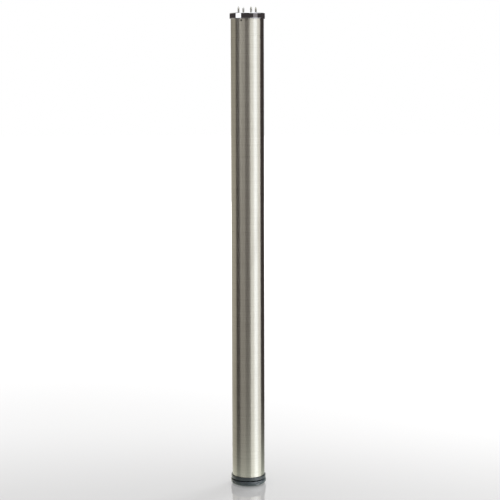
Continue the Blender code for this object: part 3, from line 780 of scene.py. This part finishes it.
def make_end_plug(material):
    base = plug_low.z
    pocket_top = nut_high.z + GAP
    hub_top = pocket_top + HUB_ROOF
    lip_top = base + LIP_HEIGHT
    points = outline(
        (recess_radius, base, END_BREAK),
        (lip_radius, base, LIP_FILLET),
        (lip_radius, lip_top, LIP_FILLET / 2),
        (sleeve_radius, lip_top),
        (sleeve_radius, plug_high.z, END_BREAK),
        (sleeve_inside, plug_high.z, END_BREAK),
        (sleeve_inside, base + PLUG_FLOOR),
        (plug_hub_radius, base + PLUG_FLOOR),
        (plug_hub_radius, hub_top, END_BREAK),
        (stem_hole, hub_top),
        (stem_hole, base + RECESS_DEPTH),
        (recess_radius, base + RECESS_DEPTH),
    )
    plug = make_piece("nylon_plug", turned(points), "end_plug", material)
    webs = spokes(
        plug_hub_radius - HUB_WALL / 2,
        sleeve_inside + SLEEVE_WALL / 2,
        PLUG_WEB,
        base + PLUG_FLOOR / 2,
        hub_top - PLUG_WEB_SHORT,
        PLUG_WEB_COUNT,
    )
    combine(plug, webs, "UNION")
    root = sleeve_radius - SLEEVE_WALL / 2
    low, high = base + LIP_HEIGHT / 2, plug_high.z - CRUSH_RIB_SHORT
    half_step = math.pi / CRUSH_RIB_COUNT
    ribs = spokes(root, crush_radius, CRUSH_RIB_WIDTH, low, high, CRUSH_RIB_COUNT, half_step)
    combine(plug, ribs, "UNION")
    pocket = bmesh.new()
    floor = base + RECESS_DEPTH - OVERRUN
    add_prism(pocket, hexagon(HEX_ACROSS + 2 * GAP), pocket_top - floor, Matrix.Translation((0, 0, floor)))
    combine(plug, pocket, "DIFFERENCE")
    smooth(plug, CREASE)


def thread_start():
    """Height at which a turn of the stem's thread begins."""
    return head_top - THREAD_PHASE * THREAD_PITCH


def thread_root(crest):
    """Root radius under a crest radius."""
    return crest - FLANK * THREAD_PITCH / math.tan(THREAD_FLANK)


def make_nut(material):
    blank = hex_blank(HEX_ACROSS, nut_low.z, nut_high.z, True)
    nut = make_piece("hexagon_nut", blank, "plug_nut", material)
    crest = THREAD_RADIUS + THREAD_CLEARANCE
    root = thread_root(crest)
    low, high = nut_low.z - OVERRUN, nut_high.z + OVERRUN
    rod = threaded_rod(low, high, crest, root, THREAD_PITCH, thread_start(), lambda height: crest)
    combine(nut, rod, "DIFFERENCE")
    for face, inward in ((nut_low.z, 1), (nut_high.z, -1)):
        mouth = crest + GAP / 2
        outside = face - inward * OVERRUN
        cone = turned([(0.0, outside), (mouth + OVERRUN, outside), (0.0, face + inward * mouth)], SMALL)
        combine(nut, cone, "DIFFERENCE")
    smooth(nut, THREAD_CREASE)


def make_stem(material):
    blank = hex_blank(HEX_ACROSS, stem_low.z, head_top, False)
    stem = make_piece("threaded_stem", blank, "foot_stem", material)
    socket = bmesh.new()
    place = Matrix.Translation((0, 0, stem_low.z - OVERRUN))
    add_prism(socket, circle_points(PIVOT_RADIUS + GAP, SMALL), PIVOT_HEIGHT + OVERRUN, place)
    combine(stem, socket, "DIFFERENCE")
    root = thread_root(THREAD_RADIUS)
    end = THREAD_RADIUS - THREAD_PITCH

    def limit(height):
        return min(THREAD_RADIUS, end + stem_high.z - height)

    low = head_top - HEAD_HEIGHT / 2
    rod = threaded_rod(low, stem_high.z, THREAD_RADIUS, root, THREAD_PITCH, thread_start(), limit)
    combine(stem, rod, "UNION")
    smooth(stem, THREAD_CREASE)


def make_disc(material):
    base, top = disc_low.z, disc_high.z - DISC_HUB_RISE
    seat = stem_low.z
    roof = top - DISC_ROOF
    points = outline(
        (pad_recess, base, END_BREAK),
        (disc_radius, base, DISC_BOTTOM_FILLET),
        (disc_radius, top, DISC_TOP_FILLET),
        (hub_radius, top),
        (hub_radius, disc_high.z, DISC_TOP_FILLET / 2),
        (stem_hole, disc_high.z, END_BREAK),
        (stem_hole, seat),
        (hub_radius, seat),
        (hub_radius, roof),
        (disc_core, roof),
        (disc_core, seat),
        (pad_recess, seat),
    )
    disc = make_piece("nylon_foot", turned(points), "foot_disc", material)
    inner, outer = hub_radius - HUB_WALL / 2, disc_core + DISC_SEAT
    ribs = spokes(inner, outer, DISC_RIB, seat, roof + OVERRUN, DISC_RIB_COUNT)
    combine(disc, ribs, "UNION")
    pocket = bmesh.new()
    place = Matrix.Translation((0, 0, seat - OVERRUN))
    add_prism(pocket, hexagon(HEX_ACROSS + 2 * GAP), HEAD_HEIGHT + GAP + OVERRUN, place)
    combine(disc, pocket, "DIFFERENCE")
    egg = Matrix.Diagonal((SCOOP_HALF_HEIGHT, SCOOP_HALF_HEIGHT, SCOOP_HALF_LENGTH, 1.0))
    side_on = Matrix.Rotation(math.pi / 2, 4, "Y")
    reach = disc_radius + SCOOP_HALF_HEIGHT - SCOOP_DEPTH
    spot = Matrix.Translation((0, -reach, base + SCOOP_LEVEL))
    scoops = bmesh.new()
    for i in range(SCOOP_COUNT):
        facing = Matrix.Rotation(SCOOP_ANGLE + math.tau * i / SCOOP_COUNT, 4, "Z")
        place = facing @ spot @ side_on @ egg
        bmesh.ops.create_uvsphere(scoops, u_segments=SMALL, v_segments=SMALL // 2, radius=1.0, matrix=place)
    combine(disc, scoops, "DIFFERENCE")
    smooth(disc, CREASE)
    foot_only.objects.link(disc)


def make_pad(material):
    points = [(0.0, 0.0)]
    for i in reversed(range(GROOVE_COUNT)):
        outer = pad_radius - GROOVE_EDGE - GROOVE_PITCH * i
        inner = outer - GROOVE_WIDTH
        points += [(inner, 0.0), (inner, GROOVE_DEPTH), (outer, GROOVE_DEPTH), (outer, 0.0)]
    points += [
        (pad_radius - GROOVE_DEPTH, 0.0),
        (pad_radius, GROOVE_DEPTH),
        (pad_radius, PAD_THICKNESS),
        (PIVOT_RADIUS, PAD_THICKNESS),
        (PIVOT_RADIUS, PAD_THICKNESS + PIVOT_HEIGHT),
        (0.0, PAD_THICKNESS + PIVOT_HEIGHT),
    ]
    pad = make_piece("rubber_pad", turned(points), "foot_pad", material)
    smooth(pad, CREASE)


# Studio

WHITE = (1.0, 1.0, 1.0, 1.0)
GAP_LOW, GAP_HIGH = 8.5, 17.0  # elevations that only the plate's rim mirrors towards the camera

# Distances of the softboxes from the middle of the leg
LIGHT_DISTANCE = 2.3
CORE_DISTANCE = 2.2
SPARKLE_DISTANCE = 2.1

# Overhead light
OVERHEAD_SIZE = 3.0
OVERHEAD_POWER = 60.0
OVERHEAD_HEIGHT = 3.2

# Floor, its glow and the white dome, which all lie round the leg's axis
FLOOR_RADIUS = 14.0
FLOOR_DROP = 0.02 * MM  # under the pad, so that the two don't coincide
GLOW_RADIUS = 0.55
GLOW_DROP = 0.3 * MM
DOME_RADIUS = 15.0

# White card behind the leg, which the floor mirrors towards the camera
CARD_DISTANCE = 12.0
CARD_HEIGHT = 2.6
CARD_HALF_WIDTH = 3.6
CARD_HALF_HEIGHT = 2.0

# Camera, in front of the leg and a little lower than its top
CAMERA_PLACE = (0.0, -2.516, 0.767)
CAMERA_LENS = 99.4  # mm, on a sensor 36 mm wide
CAMERA_TILT = math.radians(7.39)  # downwards
CAMERA_ROLL = math.radians(-0.155)
CAMERA_YAW = math.radians(-0.088)


def direction(azimuth, elevation):
    """Unit vector from the leg, with the azimuth from the front towards +X, in degrees."""
    a, e = math.radians(azimuth), math.radians(elevation)
    return Vector((math.sin(a) * math.cos(e), -math.cos(a) * math.cos(e), math.sin(e)))


def softbox(
    name, azimuths, elevations, radiance, colour=(1.0, 1.0, 1.0), distance=LIGHT_DISTANCE, lit=leg_pieces
):
    """Area light that fills a range of azimuths and elevations, seen from the middle of the leg.

    It lights one collection only, and the floor doesn't mirror it.
    """
    middle = Vector((0, 0, (cad_low.z + cad_high.z) / 2))
    width = 2 * distance * math.tan(math.radians(azimuths[1] - azimuths[0]) / 2)
    height = 2 * distance * math.tan(math.radians(elevations[1] - elevations[0]) / 2)
    away = direction(sum(azimuths) / 2, sum(elevations) / 2)
    data = bpy.data.lights.new(name, "AREA")
    data.shape = "RECTANGLE"
    data.size = width
    data.size_y = height
    data.energy = radiance * math.pi * width * height
    data.color = colour
    light = bpy.data.objects.new(name, data)
    light.location = middle + away * distance
    light.rotation_euler = away.to_track_quat("Z", "Y").to_euler()
    light.visible_camera = False
    light.visible_glossy = lit is not floor_only
    light.light_linking.receiver_collection = lit
    bpy.context.scene.collection.objects.link(light)


def wall(name, azimuths, lowest, highest, radiance, colour=(1.0, 1.0, 1.0), distance=LIGHT_DISTANCE):
    """Softboxes under and over the gap that the rim mirrors."""
    softbox(name + "_low", azimuths, (lowest, GAP_LOW), radiance, colour, distance)
    softbox(name + "_high", azimuths, (GAP_HIGH, highest), radiance, colour, distance)


def make_lights():
    """Softboxes for the tube's bands, then those for the rim, the foot and the floor's shadow."""
    wall("key", (19, 99), -32, 60, 1.3, (1.0, 1.0, 0.97))
    wall("key_core", (45, 72), -32, 60, 0.9, (0.76, 0.84, 1.0), CORE_DISTANCE)
    softbox("fill_low", (-58, -19), (-26, GAP_LOW), 0.36, (1.0, 0.95, 0.86))
    softbox("fill_high", (-58, -19), (GAP_HIGH, 45), 0.75, (1.0, 0.98, 0.92))
    wall("front", (-19, 19), -26, 40, 0.16, (1.0, 0.95, 0.88))
    wall("warm_back", (-178, -91), -30, 45, 0.5, (1.0, 0.96, 0.82))
    softbox("strip_left", (-79, -41), (11.0, 14.4), 1.6)
    softbox("strip_right", (39, 69), (11.0, 14.4), 0.3, (1.0, 0.93, 0.93))
    softbox("foot_sparkle", (45, 90), (0, 60), 4.5, distance=SPARKLE_DISTANCE, lit=foot_only)
    softbox("shadow_caster", (128, 150), (28, 52), 6.5, lit=floor_only)


def make_top_light():
    """Large soft light over the leg and the floor."""
    data = bpy.data.lights.new("overhead", "AREA")
    data.shape = "DISK"
    data.size = OVERHEAD_SIZE
    data.energy = OVERHEAD_POWER
    light = bpy.data.objects.new("overhead", data)
    light.location = (0.0, 0.0, OVERHEAD_HEIGHT)
    light.visible_camera = False
    bpy.context.scene.collection.objects.link(light)


def stage_piece(name, bm, material, unseen_by):
    """Floor, card or backdrop, hidden from some kinds of ray."""
    obj = mesh_object(name, bm)
    obj.data.materials.append(material)
    for ray in unseen_by:
        setattr(obj, "visible_" + ray, False)
    return obj


def disc_mesh(radius, height):
    bm = bmesh.new()
    bmesh.ops.create_circle(bm, cap_ends=True, segments=128, radius=radius)
    bmesh.ops.translate(bm, verts=bm.verts, vec=(0, 0, height))
    return bm


def make_floor():
    """Pale glossy floor whose emission paints its light: painted shade near the leg, brightening away from
    it into the white backdrop.
    """
    look = Look("pale_floor", IOR=2.0)
    # Painted light: the emission strength is lower near the leg, as painted shade round it, and rises
    # towards the back and, a little, to the right.
    far = look.between(look.distance_from_axis(), -1.2, 6.0, 0.14, 1.15)
    far = look.math("ADD", far, look.between(look.part(1), -0.35, 0.45, -0.06, 0.10))
    painted_side_light = look.between(look.part(0), -0.6, 0.6, -0.03, 0.03)
    look.plug(look.shader, "Emission Color", WHITE)
    look.plug(look.shader, "Emission Strength", look.math("ADD", far, painted_side_light))
    pale = look.finish((0.5, 0.5, 0.5, 1.0), 0.02)
    disc = disc_mesh(FLOOR_RADIUS, -FLOOR_DROP)
    floor_only.objects.link(stage_piece("floor", disc, pale, ("glossy", "diffuse", "shadow")))
    disc = disc_mesh(GLOW_RADIUS, -GLOW_DROP)
    stage_piece("floor_bounce", disc, floor_glow(), ("camera", "shadow"))


def floor_glow():
    """Faint light just under the floor, near the leg, which only the leg's own surfaces reflect."""
    look = Look("floor_glow")
    close = look.between(look.distance_from_axis(), 0.04, 0.16, 0.4, 0.0)
    wide = look.between(look.distance_from_axis(), 0.05, 0.55, 0.26, 0.0)
    wide = look.math("MULTIPLY", wide, look.between(look.part(0), -0.2, 0.2, 0.6, 2.0))
    glow = look.add("ShaderNodeEmission")
    look.plug(glow, "Color", (0.92, 1.0, 0.90, 1.0))
    look.plug(glow, "Strength", look.math("ADD", close, wide))
    both = look.add("ShaderNodeAddShader")
    look.plug(both, 0, glow.outputs[0])
    look.plug(both, 1, look.add("ShaderNodeBsdfTransparent").outputs[0])
    look.plug(look.tree.nodes["Material Output"], "Surface", both.outputs[0])
    return look.material


def make_backdrop():
    """White dome that only the camera sees, a card that only reflections see, and a dim studio."""
    look = Look("white_backdrop", Specular_IOR_Level=0.0)
    look.plug(look.shader, "Emission Color", WHITE)
    look.plug(look.shader, "Emission Strength", 1.0)
    white = look.finish((0.0, 0.0, 0.0, 1.0), 1.0)
    bm = bmesh.new()
    bmesh.ops.create_uvsphere(bm, u_segments=64, v_segments=32, radius=DOME_RADIUS)
    stage_piece("backdrop", bm, white, ("diffuse", "glossy", "transmission", "shadow"))
    bm = bmesh.new()
    upright = Matrix.Translation((0, CARD_DISTANCE, CARD_HEIGHT)) @ Matrix.Rotation(math.pi / 2, 4, "X")
    spread = Matrix.Diagonal((CARD_HALF_WIDTH, CARD_HALF_HEIGHT, 1.0, 1.0))
    bmesh.ops.create_grid(bm, x_segments=1, y_segments=1, size=1.0, matrix=upright @ spread)
    stage_piece("back_card", bm, white, ("camera", "diffuse", "transmission", "shadow"))
    world = bpy.data.worlds.new("studio")
    bpy.context.scene.world = world
    world.use_nodes = True
    background = world.node_tree.nodes["Background"]
    background.inputs["Color"].default_value = (1.0, 0.86, 0.84, 1.0)
    background.inputs["Strength"].default_value = 0.06


def make_camera():
    data = bpy.data.cameras.new("camera")
    data.lens = CAMERA_LENS
    data.sensor_width = 36.0
    data.clip_end = 100.0
    camera = bpy.data.objects.new("camera", data)
    camera.location = CAMERA_PLACE
    look = Matrix.Rotation(CAMERA_YAW, 3, "Z") @ Matrix.Rotation(math.pi / 2 - CAMERA_TILT, 3, "X")
    camera.rotation_euler = (look @ Matrix.Rotation(CAMERA_ROLL, 3, "Z")).to_euler()
    bpy.context.scene.collection.objects.link(camera)
    bpy.context.scene.camera = camera


def main():
    steel, plating, zinc = brushed_steel(), chrome(), zinc_plate()
    plastic = black_plastic()
    make_tube(steel)
    make_plate(plating)
    make_wood_screws(zinc)
    make_set_screw(black_oxide())
    make_end_plug(plastic)
    make_nut(zinc)
    make_stem(zinc)
    make_disc(plastic)
    make_pad(pad_rubber())
    make_lights()
    make_top_light()
    make_floor()
    make_backdrop()
    make_camera()
    bpy.context.scene.view_settings.view_transform = "Standard"


main()
